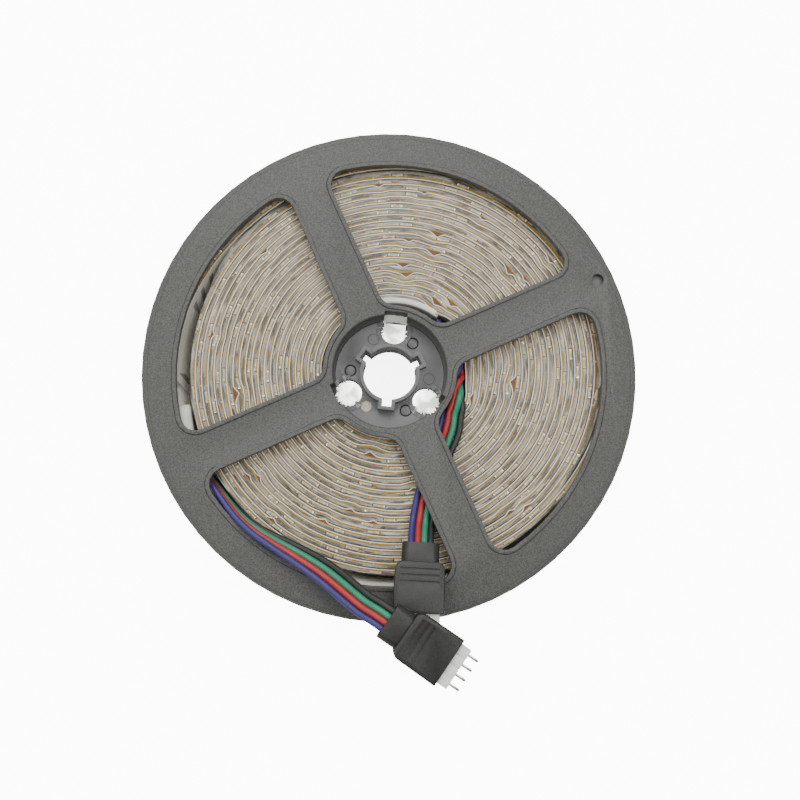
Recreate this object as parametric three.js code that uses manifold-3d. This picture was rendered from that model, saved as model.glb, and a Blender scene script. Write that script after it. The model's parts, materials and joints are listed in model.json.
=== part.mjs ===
// A reel of LED strip: a moulded spool of two like halves, the strip wound on it, and its two four-wire leads.
// Millimetres, +Z up. The reel lies on its rear face, with its axis on Z and its spokes along X and Y.
import * as THREE from "three";
import { mergeVertices } from "three/addons/utils/BufferGeometryUtils.js";
import Module from "manifold-3d";

const wasm = await Module();
wasm.setup();

// Clearances
const seatGap = 0.3; // between pieces that rest on or sit in each other
const overcut = 1; // how far a cutting solid runs past the face it cuts
const fullTurn = 360; // degrees

// Spool
const spoolRadius = 60;
const spoolWidth = 16.2; // over the raised beads of both flanges
const beadHeight = 0.3;
const beadWidth = 1.0;
const flangeThickness = 1.6;
const rimStepWidth = 0.8;
const rimStepDepth = 0.25;
const roundSteps = 64;

// Flange windows, one in each quarter between the spokes
const spokeWidth = 10.5;
const windowInnerRadius = 16.3;
const windowOuterRadius = 51.7;
const windowOuterCorner = 3.8;
const windowInnerCorner = 4;
const rimHoleRadius = 1.5;
const rimHoleFromAxis = 56;

// Hub of each half
const recessRadius = 13.84;
const recessDraft = 0.3; // how much narrower the recess is at its floor
const recessEdge = 0.3; // chamfer round its mouth
const drumRadius = 15.2;
const webThickness = 1.1;
const arbourRadius = 6.5;
const collarWall = 0.9;
const collarHeight = 2.6;
const keySlotWidth = 2.3;
const keySlotEnd = 8.2;
const latchHoleRadius = 3.35;
const latchHoleFromAxis = 11.2;
const latchNotchWidth = 5.6;
const latchNotchEnd = 14.7;
const pegRadius = 1.2;
const pegFromAxis = 9.8;
const pegShortfall = 0.1; // how far a peg's tip stays below the other half's floor
const lostPegTurn = 210; // the front half's peg that is broken out

// Strip and its coil
const stripWidth = 10;
const stripThickness = 1.25;
const tapeBehindLine = 0.35; // from the copper tape's edge line in to the liner's face
const turnPitch = 1.579;
const firstTurnRadius = 17.131;
const coilShiftInside = [1.322, 0.811]; // the coil sits off the axis: by this at the hub
const coilShiftPerTurn = [0.044, -0.02];
const coilOval = 0.423; // half the difference between its longest and shortest radius
const coilOvalTurn = -9.5;
const firstTurnPull = 0.7; // the first turn is drawn in towards the drum
const stripStart = 27; // degrees
const stripTurns = 21.383;
// Beside the inner lead the first turns are drawn in (-) or pushed out, less so on each later turn.
const firstTurnsBent = [
  { at: 343, half: 25, by: -1.3 },
  { at: 313, half: 15, by: 1.25 },
];
const bentTurns = 5; // the bends have gone at this turn
const looseTurn = { from: 290, to: 330, turn: 20, lift: 0.9 };
const looseTail = { from: 100, to: 165, turn: 21, lift: 2.9 };
const stepsPerTurn = 28;
const stepsPerBentTurn = 42;

// White sleeve over the solder joint at the strip's outer end
const endSleeveLength = 10;
const endSleeveWall = 0.6;
const endSleeveHeight = 10.4;

// Leads
const wireDiameter = 1.4;
const wirePitch = 1.55;
const wireSides = 8;
const wireStep = 2.2;
const wireNames = ["blue", "red", "green", "black"];
const wireColours = { blue: 0x3a3fa0, red: 0xc22a2c, green: 0x2f9a72, black: 0x22221f };

// Four-way plugs
const plugSleeve = { width: 8.9, thickness: 3.8, corner: 1.75, length: 4.6, inside: 1 };
const sleeveMouthDepth = 1.5;
const shellLength = 12.0;
const shellWidthAtSleeve = 11.7;
const shellWidthAtPins = 12.0;
const shellThickness = 5;
const shellShoulder = 1.9;
const shellEdge = 0.45;
const gripGrooves = { count: 3, first: 1.9, pitch: 1.48, width: 0.5, depth: 0.35, length: 9.2 };
const pinPitch = 2.54;
const pinCount = 4;
const header = { thickness: 2.54, outside: 2.7, inside: 2, notchWidth: 0.5, notchDepth: 0.35 };
const pinThickness = 0.64;
const pinOutside = 2.8;
const pinInside = 1.2;
const pinClearance = 0.2;
const pinTip = 0.35;

// Levels worked out from the widths above
const midHeight = spoolWidth / 2;
const flangeFace = midHeight - beadHeight; // from the middle plane to a flange's outer face
const flangeInside = flangeFace - flangeThickness;
const webBack = seatGap / 2;
const recessFloor = webBack + webThickness;
const coilBottom = midHeight - flangeInside + seatGap;
const coilTop = coilBottom + stripWidth;

const degrees = (value) => (value * Math.PI) / 180;
const polar = (radius, turn, z) =>
  new THREE.Vector3(radius * Math.cos(degrees(turn)), radius * Math.sin(degrees(turn)), z);

const plastic = new THREE.MeshStandardMaterial({ color: 0x5b5b57, roughness: 0.6 });
const stripGrey = new THREE.MeshStandardMaterial({ color: 0xc4bfb8, roughness: 0.45 });
const sleeveWhite = new THREE.MeshStandardMaterial({ color: 0xeceade, roughness: 0.5 });
const rubber = new THREE.MeshStandardMaterial({ color: 0x343330, roughness: 0.55 });
const nylon = new THREE.MeshStandardMaterial({ color: 0xe8e6d8, roughness: 0.45 });
const tin = new THREE.MeshStandardMaterial({ color: 0xc9c6bd, roughness: 0.3, metalness: 1 });

// A geometry as a solid that can be cut and joined.
function solid(geometry) {
  const bare = geometry.clone();
  for (const name of Object.keys(bare.attributes)) {
    if (name !== "position") bare.deleteAttribute(name);
  }
  const merged = mergeVertices(bare, 1e-4);
  return new wasm.Manifold(
    new wasm.Mesh({
      numProp: 3,
      vertProperties: new Float32Array(merged.attributes.position.array),
      triVerts: new Uint32Array(merged.index.array),
    }),
  );
}

function geometryOf(made) {
  const mesh = made.getMesh();
  const positions = new Float32Array(mesh.numVert * 3);
  for (let i = 0; i < mesh.numVert; i++) {
    positions.set(mesh.vertProperties.subarray(i * mesh.numProp, i * mesh.numProp + 3), i * 3);
  }
  const geometry = new THREE.BufferGeometry();
  geometry.setAttribute("position", new THREE.BufferAttribute(positions, 3));
  geometry.setIndex(new THREE.BufferAttribute(new Uint32Array(mesh.triVerts), 1));
  geometry.computeVertexNormals();
  return geometry;
}

const join = (solids) => solids.reduce((all, next) => all.add(next));

// An upright prism between two levels.
function prism(shape, low, high, curveSegments = 12) {
  const options = { depth: high - low, bevelEnabled: false, curveSegments };
  return solid(new THREE.ExtrudeGeometry(shape, options).translate(0, 0, low));
}

function rod(radius, low, high, x = 0, y = 0, sides = 24) {
  const geometry = new THREE.CylinderGeometry(radius, radius, high - low, sides);
  return solid(geometry.rotateX(Math.PI / 2).translate(x, y, (low + high) / 2));
}

// A box that runs out from the axis in the direction of turn.
function spokeBox(from, to, width, low, high, turn) {
  const box = new THREE.BoxGeometry(to - from, width, high - low);
  box.translate((from + to) / 2, 0, (low + high) / 2);
  return solid(box.rotateZ(degrees(turn)));
}

function arc(x, y, radius, from, to, steps) {
  const points = [];
  for (let i = 0; i <= steps; i++) {
    const turn = from + ((to - from) * i) / steps;
    points.push(new THREE.Vector2(x + radius * Math.cos(turn), y + radius * Math.sin(turn)));
  }
  return points;
}

// The outline of the window in the first quarter, let out by grow all round.
function windowShape(grow) {
  const side = spokeWidth / 2 - grow;
  const inner = windowInnerRadius - grow;
  const outer = windowOuterRadius + grow;
  const outerCorner = windowOuterCorner + grow;
  const innerCorner = windowInnerCorner + grow;
  const outerNear = side + outerCorner;
  const outerFar = Math.sqrt((outer - outerCorner) ** 2 - outerNear ** 2);
  const innerNear = side + innerCorner;
  const innerFar = Math.sqrt((inner + innerCorner) ** 2 - innerNear ** 2);
  const outerTurn = Math.atan2(outerFar, outerNear);
  const innerTurn = Math.atan2(innerNear, innerFar);
  const quarter = Math.PI / 2;
  return new THREE.Shape([
    ...arc(outerNear, outerFar, outerCorner, Math.PI, outerTurn, 4),
    ...arc(0, 0, outer, outerTurn, quarter - outerTurn, 14).slice(1),
    ...arc(outerFar, outerNear, outerCorner, quarter - outerTurn, -quarter, 4).slice(1),
    ...arc(innerFar, innerNear, innerCorner, 3 * quarter, Math.PI + innerTurn, 4),
    ...arc(0, 0, inner, innerTurn, quarter - innerTurn, 5).slice(1),
    ...arc(innerNear, innerFar, innerCorner, 3 * quarter - innerTurn, Math.PI, 4).slice(1),
  ]);
}

function quarters(make) {
  return join([0, 1, 2, 3].map((i) => make().rotate([0, 0, (i * fullTurn) / 4])));
}

function thirds(first, make) {
  return join([0, 1, 2].map((i) => make(first + (i * fullTurn) / 3)));
}

// One half of the spool, with the middle plane at z = 0 and its outer face up.
function spoolHalf(lostPeg) {
  const rimFace = flangeFace - rimStepDepth;
  const profile = [
    [0, webBack],
    [drumRadius, webBack],
    [drumRadius, flangeInside],
    [spoolRadius, flangeInside],
    [spoolRadius, rimFace],
    [spoolRadius - rimStepWidth, rimFace],
    [spoolRadius - rimStepWidth, flangeFace],
    [recessRadius + recessEdge, flangeFace],
    [recessRadius, flangeFace - recessEdge],
    [recessRadius - recessDraft, recessFloor],
    [0, recessFloor],
  ];
  const lathe = new THREE.LatheGeometry(
    profile.map(([r, z]) => new THREE.Vector2(r, z)),
    roundSteps,
  );
  let half = solid(lathe.rotateX(Math.PI / 2).rotateZ(Math.PI / 2));

  const beads = quarters(() => prism(windowShape(beadWidth), flangeFace - beadHeight, midHeight));
  const windows = quarters(() => prism(windowShape(0), flangeInside - overcut, midHeight + overcut));
  half = half.add(beads).subtract(windows);

  const above = midHeight + overcut;
  const below = webBack - overcut;
  const collarTop = recessFloor + collarHeight;
  const rim = thirds(0, (turn) =>
    spokeBox(0, keySlotEnd + collarWall, keySlotWidth + 2 * collarWall, webBack, collarTop, turn),
  );
  const slots = thirds(0, (turn) => spokeBox(0, keySlotEnd, keySlotWidth, below, above, turn));
  half = half.add(rod(arbourRadius + collarWall, webBack, collarTop, 0, 0, 36)).add(rim);
  half = half.subtract(rod(arbourRadius, below, above, 0, 0, 36)).subtract(slots);

  const latchHoles = thirds(60, (turn) => {
    const at = polar(latchHoleFromAxis, turn, 0);
    return rod(latchHoleRadius, below, above, at.x, at.y);
  });
  const notches = thirds(60, (turn) =>
    spokeBox(latchHoleFromAxis, latchNotchEnd, latchNotchWidth, below, above, turn),
  );
  half = half.subtract(latchHoles).subtract(notches);

  const tip = -(recessFloor - pegShortfall);
  for (const turn of [90, 210, 330]) {
    const at = polar(pegFromAxis, turn, 0);
    if (lostPeg === turn) {
      half = half.subtract(rod(pegRadius + seatGap, below, recessFloor + overcut, at.x, at.y, 16));
    } else {
      half = half.add(rod(pegRadius, tip, recessFloor, at.x, at.y, 16));
    }
  }
  for (const turn of [30, 150, 270]) {
    const at = polar(pegFromAxis, turn, 0);
    half = half.subtract(rod(pegRadius + seatGap, below, recessFloor + overcut, at.x, at.y, 16));
  }
  return half.subtract(rod(rimHoleRadius, flangeInside - overcut, above, rimHoleFromAxis, 0, 16));
}

const smooth = (value) => THREE.MathUtils.smoothstep(value, 0, 1);

// How far a loose stretch stands off the coil at a place along the strip, in degrees from the X axis.
function lift(stretch, turn) {
  const start = stretch.from + fullTurn * stretch.turn;
  return stretch.lift * smooth((turn - start) / (stretch.to - stretch.from));
}

// How far a turn is moved out by the bends of the first turns.
function bend(turn) {
  const fading = Math.max(0, 1 - turn / fullTurn / bentTurns);
  const parts = firstTurnsBent.map(({ at, half, by }) => {
    const away = THREE.MathUtils.euclideanModulo(turn - at + fullTurn / 2, fullTurn) - fullTurn / 2;
    return by * fading * smooth(1 - Math.abs(away) / half);
  });
  return parts.reduce((sum, part) => sum + part);
}

// Radius of the copper tape's edge line: a spiral that sits off the axis and is slightly oval.
function lineRadius(turn) {
  const turns = turn / fullTurn;
  const shiftX = coilShiftInside[0] + coilShiftPerTurn[0] * turns;
  const shiftY = coilShiftInside[1] + coilShiftPerTurn[1] * turns;
  const drawnIn = firstTurnPull * Math.max(0, 1 - turns) ** 2;
  return (
    firstTurnRadius +
    turnPitch * turns -
    drawnIn +
    shiftX * Math.cos(degrees(turn)) +
    shiftY * Math.sin(degrees(turn)) +
    coilOval * Math.cos(2 * degrees(turn - coilOvalTurn)) +
    bend(turn) +
    lift(looseTurn, turn) +
    lift(looseTail, turn)
  );
}

// Turns at which the coil's solid has a section: they are closer together where it is bent.
function coilStops(from, to) {
  const stops = [];
  for (let turn = from; turn < to; ) {
    stops.push(turn);
    turn += fullTurn / (turn < bentTurns * fullTurn ? stepsPerBentTurn : stepsPerTurn);
  }
  return [...stops, to];
}

// A band that follows the coil, as one closed solid, from radius inside to outside of the edge line.
function coilBand(stops, inside, outside, low, high) {
  const positions = [];
  const index = [];
  const steps = stops.length - 1;
  for (const turn of stops) {
    const line = lineRadius(turn);
    for (const [radius, z] of [
      [line + inside, low],
      [line + outside, low],
      [line + outside, high],
      [line + inside, high],
    ]) {
      positions.push(...polar(radius, turn, z).toArray());
    }
  }
  for (let i = 0; i < steps; i++) {
    for (let corner = 0; corner < 4; corner++) {
      const a = i * 4 + corner;
      const b = i * 4 + ((corner + 1) % 4);
      index.push(a, a + 4, b, b, a + 4, b + 4);
    }
  }
  const last = steps * 4;
  index.push(0, 1, 2, 0, 2, 3);
  index.push(last, last + 2, last + 1, last, last + 3, last + 2);
  const geometry = new THREE.BufferGeometry();
  geometry.setAttribute("position", new THREE.Float32BufferAttribute(positions, 3));
  geometry.setIndex(index);
  geometry.computeVertexNormals();
  return geometry;
}

// The inner lead's wires at the hub: radius and height of blue, red, green and black at each turn.
// They start one over the other inside the coil, cross, and come to lie side by side on top of it.
const innerLeadFan = [
  { turn: 25.6, wires: [[18.15, 9.95], [18.15, 8.4], [18.15, 6.85], [18.15, 5.3]] },
  { turn: 18, wires: [[17.65, 10.0], [17.65, 8.45], [17.65, 6.9], [17.65, 5.35]] },
  { turn: 10, wires: [[17.3, 10.3], [17.3, 8.75], [17.3, 7.2], [17.3, 5.65]] },
  { turn: 2, wires: [[17.2, 10.9], [17.2, 9.35], [17.2, 7.8], [17.2, 6.25]] },
  { turn: 354, wires: [[17.3, 11.7], [17.3, 10.15], [17.3, 8.6], [17.3, 7.05]] },
  { turn: 342, wires: [[17.4, 12.6], [17.55, 11.05], [17.4, 9.5], [17.4, 7.95]] },
  { turn: 335, wires: [[16.45, 12.9], [17.65, 11.4], [17.4, 9.75], [17.4, 8.0]] },
  { turn: 331.5, wires: [[16.05, 12.3], [17.6, 12.45], [17.4, 10.4], [17.4, 8.4]] },
  { turn: 328, wires: [[16.1, 11.8], [17.0, 13.35], [17.45, 11.2], [17.55, 9.0]] },
  { turn: 320, wires: [[16.15, 11.5], [16.5, 13.3], [18.0, 13.3], [18.4, 10.8]] },
  { turn: 315.5, wires: [[16.2, 11.5], [16.8, 13.3], [18.15, 14.2], [18.7, 12.75]] },
  { turn: 310.7, wires: [[16.2, 11.6], [17.0, 13.3], [18.4, 14.1], [19.7, 13.4]] },
  { turn: 306, wires: [[16.2, 11.8], [17.15, 13.3], [18.7, 13.6], [20.3, 13.35]] },
  { turn: 302, wires: [[16.2, 12.0], [17.4, 13.3], [19.1, 13.3], [20.85, 13.3]] },
  { turn: 295.5, wires: [[16.75, 13.1], [18.55, 13.25], [20.4, 13.25], [22.3, 13.25]] },
  { turn: 289, wires: [[17.9, 13.25], [19.75, 13.25], [21.6, 13.25], [23.5, 13.25]] },
];

// The flat leads' routes: the middle of the four wires, and how far the lead is rolled, in degrees.
// A lead lies flat at 0. At -90 its blue wire is uppermost.
const innerLeadRoute = [
  [4.3, -22.0, 13.25, 0],
  [1.6, -24.9, 13.25, 0],
  [-1.0, -27.7, 13.25, 0],
  [-3.5, -30.6, 13.25, 0],
  [-5.7, -33.5, 13.2, 0],
  [-7.5, -36.2, 13.35, 0],
  [-8.9, -38.5, 15.1, 0],
  [-10.2, -40.9, 17.1, 0],
  [-10.75, -41.97, 17.35, 0],
];
const outerLeadRoute = [
  [...polar(52.6, 176.9, 7.4).toArray(), -90],
  [...polar(52.1, 180.5, 8.1).toArray(), -88],
  [...polar(51.2, 184.5, 9.6).toArray(), -82],
  [...polar(50.4, 189.5, 11.3).toArray(), -78],
  [...polar(50.2, 195, 13.0).toArray(), -76],
  [...polar(50.2, 200.5, 14.5).toArray(), -73],
  [...polar(49.9, 206, 15.7).toArray(), -67],
  [...polar(49.4, 211.5, 16.6).toArray(), -58],
  [...polar(49.15, 217, 17.5).toArray(), -46],
  [...polar(49.4, 222.5, 18.7).toArray(), -33],
  [...polar(50.2, 227.5, 20.2).toArray(), -21],
  [...polar(51.6, 232, 21.9).toArray(), -11],
  [...polar(53.4, 236, 23.8).toArray(), -4],
  [...polar(55.4, 239.8, 25.7).toArray(), 0],
  [-25.8, -50.75, 27.2, 0],
  [-24.33, -53.09, 27.8, 0],
  [-23.71, -54.14, 27.85, 0],
];

// One wire of a lead: its places in the fan, then the route moved sideways, across the lead.
function wirePath(fan, route, i) {
  const offset = (i - (wireNames.length - 1) / 2) * wirePitch;
  const start = fan.map(({ turn, wires }) => polar(wires[i][0], turn, wires[i][1]));
  const middle = route.map(([x, y, z]) => new THREE.Vector3(x, y, z));
  const points = middle.map((point, stop) => {
    const ahead = middle[Math.min(stop + 1, middle.length - 1)];
    const behind = middle[Math.max(stop - 1, 0)];
    const along = ahead.clone().sub(behind).setZ(0).normalize();
    const roll = degrees(route[stop][3]);
    const across = new THREE.Vector3(-along.y, along.x, 0).multiplyScalar(Math.cos(roll));
    across.z = Math.sin(roll);
    return point.clone().addScaledVector(across, offset);
  });
  return new THREE.CatmullRomCurve3([...start, ...points], false, "centripetal");
}

function wireGeometry(path) {
  const section = new THREE.Shape(arc(0, 0, wireDiameter / 2, 0, 2 * Math.PI, wireSides).slice(1));
  const steps = Math.round(path.getLength() / wireStep);
  return new THREE.ExtrudeGeometry(section, { extrudePath: path, steps, bevelEnabled: false });
}

// A flat tube's outline, across the plug's axis.
function stadium(width, height, corner) {
  const x = width / 2 - corner;
  const y = height / 2 - corner;
  const quarter = Math.PI / 2;
  return new THREE.Shape([
    ...arc(x, y, corner, 0, quarter, 3),
    ...arc(-x, y, corner, quarter, 2 * quarter, 3),
    ...arc(-x, -y, corner, 2 * quarter, 3 * quarter, 3),
    ...arc(x, -y, corner, 3 * quarter, 4 * quarter, 3),
  ]);
}

function block(x, y, z, width, depth, height) {
  return solid(new THREE.BoxGeometry(width, depth, height).translate(x, y, z));
}

// The plug's pieces lie along +Y of their own group, wires at y = 0, flat side up.
function alongY(shape, from, to) {
  const options = { depth: to - from, bevelEnabled: false };
  const geometry = new THREE.ExtrudeGeometry(shape, options);
  return solid(geometry.rotateX(-Math.PI / 2).translate(0, from, 0));
}

function plugSleeveSolid() {
  const { width, thickness, corner, length, inside } = plugSleeve;
  const wiresWide = wirePitch * (wireNames.length - 1) + wireDiameter + 2 * seatGap;
  const wiresThick = wireDiameter + 2 * seatGap;
  const mouth = alongY(stadium(wiresWide, wiresThick, wiresThick / 2 - 0.01), -overcut, sleeveMouthDepth);
  return alongY(stadium(width, thickness, corner), 0, length + inside).subtract(mouth);
}

function plugShellSolid() {
  const start = plugSleeve.length;
  const end = start + shellLength;
  const inset = shellEdge;
  const halfBack = shellWidthAtSleeve / 2 - inset;
  const halfFront = shellWidthAtPins / 2 - inset;
  const corner = shellShoulder - inset;
  const back = start + inset;
  const quarter = Math.PI / 2;
  const outline = new THREE.Shape([
    new THREE.Vector2(halfFront, end - inset),
    new THREE.Vector2(-halfFront, end - inset),
    ...arc(-halfBack + corner, back + corner, corner, 2 * quarter, 3 * quarter, 4),
    ...arc(halfBack - corner, back + corner, corner, -quarter, 0, 4),
  ]);
  const flat = shellThickness - 2 * shellEdge;
  const geometry = new THREE.ExtrudeGeometry(outline, {
    depth: flat,
    bevelEnabled: true,
    bevelSize: shellEdge,
    bevelThickness: shellEdge,
    bevelSegments: 2,
  });
  let shell = solid(geometry.translate(0, 0, -flat / 2));
  const { width, thickness, corner: sleeveCorner, inside } = plugSleeve;
  const socket = stadium(width + 2 * seatGap, thickness + 2 * seatGap, sleeveCorner + seatGap);
  shell = shell.subtract(alongY(socket, start - overcut, start + inside + seatGap));
  const pocketWidth = pinPitch * pinCount + 2 * seatGap;
  const pocketDepth = header.inside + seatGap;
  const pocketHeight = header.thickness + 2 * seatGap;
  const pocketMiddle = end - (pocketDepth - overcut) / 2;
  shell = shell.subtract(block(0, pocketMiddle, 0, pocketWidth, pocketDepth + overcut, pocketHeight));
  const { count, first, pitch, width: grooveWidth, depth, length } = gripGrooves;
  for (let i = 0; i < count; i++) {
    for (const side of [-1, 1]) {
      const y = start + first + i * pitch;
      const z = side * (shellThickness / 2 - depth + overcut / 2);
      shell = shell.subtract(block(0, y, z, length, grooveWidth, overcut));
    }
  }
  return shell;
}

const headerStart = plugSleeve.length + shellLength - header.inside;
const headerEnd = plugSleeve.length + shellLength + header.outside;
const pinX = (i) => (i - (pinCount - 1) / 2) * pinPitch;

function plugHeaderSolid() {
  const length = headerEnd - headerStart;
  const middle = (headerStart + headerEnd) / 2;
  let made = block(0, middle, 0, pinPitch * pinCount, length, header.thickness);
  for (let i = 1; i < pinCount; i++) {
    const x = (i - pinCount / 2) * pinPitch;
    for (const side of [-1, 1]) {
      const z = side * (header.thickness / 2 - header.notchDepth + overcut / 2);
      made = made.subtract(block(x, middle, z, header.notchWidth, length + overcut, overcut));
    }
  }
  const hole = pinThickness + 2 * pinClearance;
  const depth = pinInside + seatGap;
  for (let i = 0; i < pinCount; i++) {
    made = made.subtract(block(pinX(i), headerEnd - (depth - overcut) / 2, 0, hole, depth + overcut, hole));
  }
  return made;
}

// A square pin with a blunt point, along +Y from its foot in the header.
function pinGeometry() {
  const across = pinThickness / Math.SQRT2;
  const length = pinInside + pinOutside;
  const profile = [
    [0, 0],
    [across, 0],
    [across, length - pinTip],
    [across / 2, length],
    [0, length],
  ];
  const points = profile.map(([r, y]) => new THREE.Vector2(r, y));
  return new THREE.LatheGeometry(points, 4, degrees(45)).translate(0, headerEnd - pinInside, 0);
}

// A plug lies at its sleeve's mouth, turned towards heading and raised at its pins by pitch.
function plug(name, mouth, heading, pitch) {
  const group = new THREE.Group();
  group.position.set(...mouth);
  group.rotation.set(degrees(pitch), 0, degrees(heading - 90), "ZXY");
  const add = (piece, geometry, material) => {
    const mesh = new THREE.Mesh(geometry, material);
    mesh.name = name + "_" + piece;
    group.add(mesh);
    return mesh;
  };
  add("sleeve", geometryOf(plugSleeveSolid()), rubber);
  add("shell", geometryOf(plugShellSolid()), rubber);
  add("header", geometryOf(plugHeaderSolid()), nylon);
  for (let i = 0; i < pinCount; i++) {
    add("pin_" + (i + 1), pinGeometry(), tin).position.x = pinX(i);
  }
  return group;
}

const reel = new THREE.Group();

function addPiece(name, geometry, material) {
  const mesh = new THREE.Mesh(geometry, material);
  mesh.name = name;
  reel.add(mesh);
  return mesh;
}

addPiece("front_spool_half", geometryOf(spoolHalf(lostPegTurn)), plastic).position.z = midHeight;
const rear = addPiece("rear_spool_half", geometryOf(spoolHalf(null)), plastic);
rear.position.z = midHeight;
rear.rotation.x = Math.PI;

const stripEnd = stripStart + fullTurn * stripTurns;
addPiece(
  "led_strip_coil",
  coilBand(
    coilStops(stripStart, stripEnd),
    -tapeBehindLine,
    stripThickness - tapeBehindLine,
    coilBottom,
    coilTop,
  ),
  stripGrey,
);

const gapTurn = (seatGap / lineRadius(stripEnd)) * (180 / Math.PI);
const sleeveTurn = (endSleeveLength / lineRadius(stripEnd)) * (180 / Math.PI);
const sleeveMiddle = (coilBottom + coilTop) / 2;
addPiece(
  "outer_end_sleeve",
  coilBand(
    [0, 1, 2, 3, 4].map((i) => stripEnd + gapTurn + (sleeveTurn * i) / 4),
    -tapeBehindLine - endSleeveWall,
    stripThickness - tapeBehindLine + endSleeveWall,
    sleeveMiddle - endSleeveHeight / 2,
    sleeveMiddle + endSleeveHeight / 2,
  ),
  sleeveWhite,
);

for (const [lead, fan, route] of [
  ["inner_lead", innerLeadFan, innerLeadRoute],
  ["outer_lead", [], outerLeadRoute],
]) {
  wireNames.forEach((colour, i) => {
    const material = new THREE.MeshStandardMaterial({ color: wireColours[colour], roughness: 0.4 });
    addPiece(lead + "_" + colour + "_wire", wireGeometry(wirePath(fan, route, i)), material);
  });
}

reel.add(plug("inner_plug", [-10.2, -40.9, 17.1], 242.8, 12));
reel.add(plug("outer_plug", [-24.33, -53.09, 27.8], -58.6, -3));

export default reel;
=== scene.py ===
import json
import math
import random

import bpy
from mathutils import Matrix, Vector

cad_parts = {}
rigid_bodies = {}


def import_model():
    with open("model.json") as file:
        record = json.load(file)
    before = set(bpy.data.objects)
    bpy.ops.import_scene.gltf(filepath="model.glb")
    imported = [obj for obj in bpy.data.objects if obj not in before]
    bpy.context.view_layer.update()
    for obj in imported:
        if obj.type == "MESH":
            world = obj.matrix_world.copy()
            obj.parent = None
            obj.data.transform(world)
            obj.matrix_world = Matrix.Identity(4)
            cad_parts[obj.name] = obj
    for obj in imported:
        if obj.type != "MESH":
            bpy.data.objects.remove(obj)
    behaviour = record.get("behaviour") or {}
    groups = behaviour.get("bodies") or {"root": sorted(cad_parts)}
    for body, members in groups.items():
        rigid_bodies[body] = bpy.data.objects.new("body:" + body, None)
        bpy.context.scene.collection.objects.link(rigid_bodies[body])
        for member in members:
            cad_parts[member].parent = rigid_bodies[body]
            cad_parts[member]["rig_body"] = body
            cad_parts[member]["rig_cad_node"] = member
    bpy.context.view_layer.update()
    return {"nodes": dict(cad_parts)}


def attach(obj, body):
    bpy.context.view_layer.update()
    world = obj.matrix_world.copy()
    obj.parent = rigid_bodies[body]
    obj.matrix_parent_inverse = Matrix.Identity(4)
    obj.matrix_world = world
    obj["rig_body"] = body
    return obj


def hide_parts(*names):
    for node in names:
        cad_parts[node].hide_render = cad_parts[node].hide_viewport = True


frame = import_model()

# The camera looks down on the reel from a little beyond its lower left, so that it sees a sliver
# of the hub's far wall, and the flange's outline is very nearly round.

MM = 0.001
camera_place = Vector((-19.06, -34.88, 267.51)) * MM
camera_aim = Vector((0.0724, 0.1078, -0.9915)).normalized()
camera_up = Vector((0.4013, 0.9070, 0.1279))
camera_side = camera_aim.cross(camera_up).normalized()
camera_up = camera_side.cross(camera_aim)
camera_turn = Matrix((camera_side, camera_up, -camera_aim)).transposed().to_4x4()

bpy.ops.object.camera_add()
camera = bpy.context.object
camera.matrix_world = Matrix.Translation(camera_place) @ camera_turn
camera.data.sensor_width = 36
camera.data.lens = 47.25
camera.data.clip_start = 0.01
camera.data.clip_end = 5
bpy.context.scene.camera = camera

# Each lead is four stranded wires in PVC, laid flat side by side: blue, red, green and black.
# The inner lead comes from the strip's end at the hub and crosses the coil under the front flange.
# The outer lead comes from the strip's other end, climbs out of a window and hangs over the rim.

WIRE_DIAMETER = 1.58
WIRE_PITCH = 1.55
WIRES = ["blue", "red", "green", "black"]


def on_circle(radius, turn, z):
    """A point at a radius and a turn in degrees round the reel's axis."""
    return (radius * math.cos(math.radians(turn)), radius * math.sin(math.radians(turn)), z)


# Radius and height of the blue, red, green and black wire of the inner lead, at each turn.
inner_lead_fan = [
    (25.6, (18.15, 9.95), (18.15, 8.4), (18.15, 6.85), (18.15, 5.3)),
    (18, (17.65, 10.0), (17.65, 8.45), (17.65, 6.9), (17.65, 5.35)),
    (10, (17.3, 10.3), (17.3, 8.75), (17.3, 7.2), (17.3, 5.65)),
    (2, (17.2, 10.9), (17.2, 9.35), (17.2, 7.8), (17.2, 6.25)),
    (354, (17.3, 11.7), (17.3, 10.15), (17.3, 8.6), (17.3, 7.05)),
    (342, (17.4, 12.6), (17.55, 11.05), (17.4, 9.5), (17.4, 7.95)),
    (335, (16.45, 12.9), (17.65, 11.4), (17.4, 9.75), (17.4, 8.0)),
    (331.5, (16.05, 12.3), (17.6, 12.45), (17.4, 10.4), (17.4, 8.4)),
    (328, (16.1, 11.8), (17.0, 13.35), (17.45, 11.2), (17.55, 9.0)),
    (320, (16.15, 11.5), (16.5, 13.3), (18.0, 13.3), (18.4, 10.8)),
    (315.5, (16.2, 11.5), (16.8, 13.3), (18.15, 14.2), (18.7, 12.75)),
    (310.7, (16.2, 11.6), (17.0, 13.3), (18.4, 14.1), (19.7, 13.4)),
    (306, (16.2, 11.8), (17.15, 13.3), (18.7, 13.6), (20.3, 13.35)),
    (302, (16.2, 12.0), (17.4, 13.3), (19.1, 13.3), (20.85, 13.3)),
    (295.5, (16.75, 13.1), (18.55, 13.25), (20.4, 13.25), (22.3, 13.25)),
    (289, (17.9, 13.25), (19.75, 13.25), (21.6, 13.25), (23.5, 13.25)),
]
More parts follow.
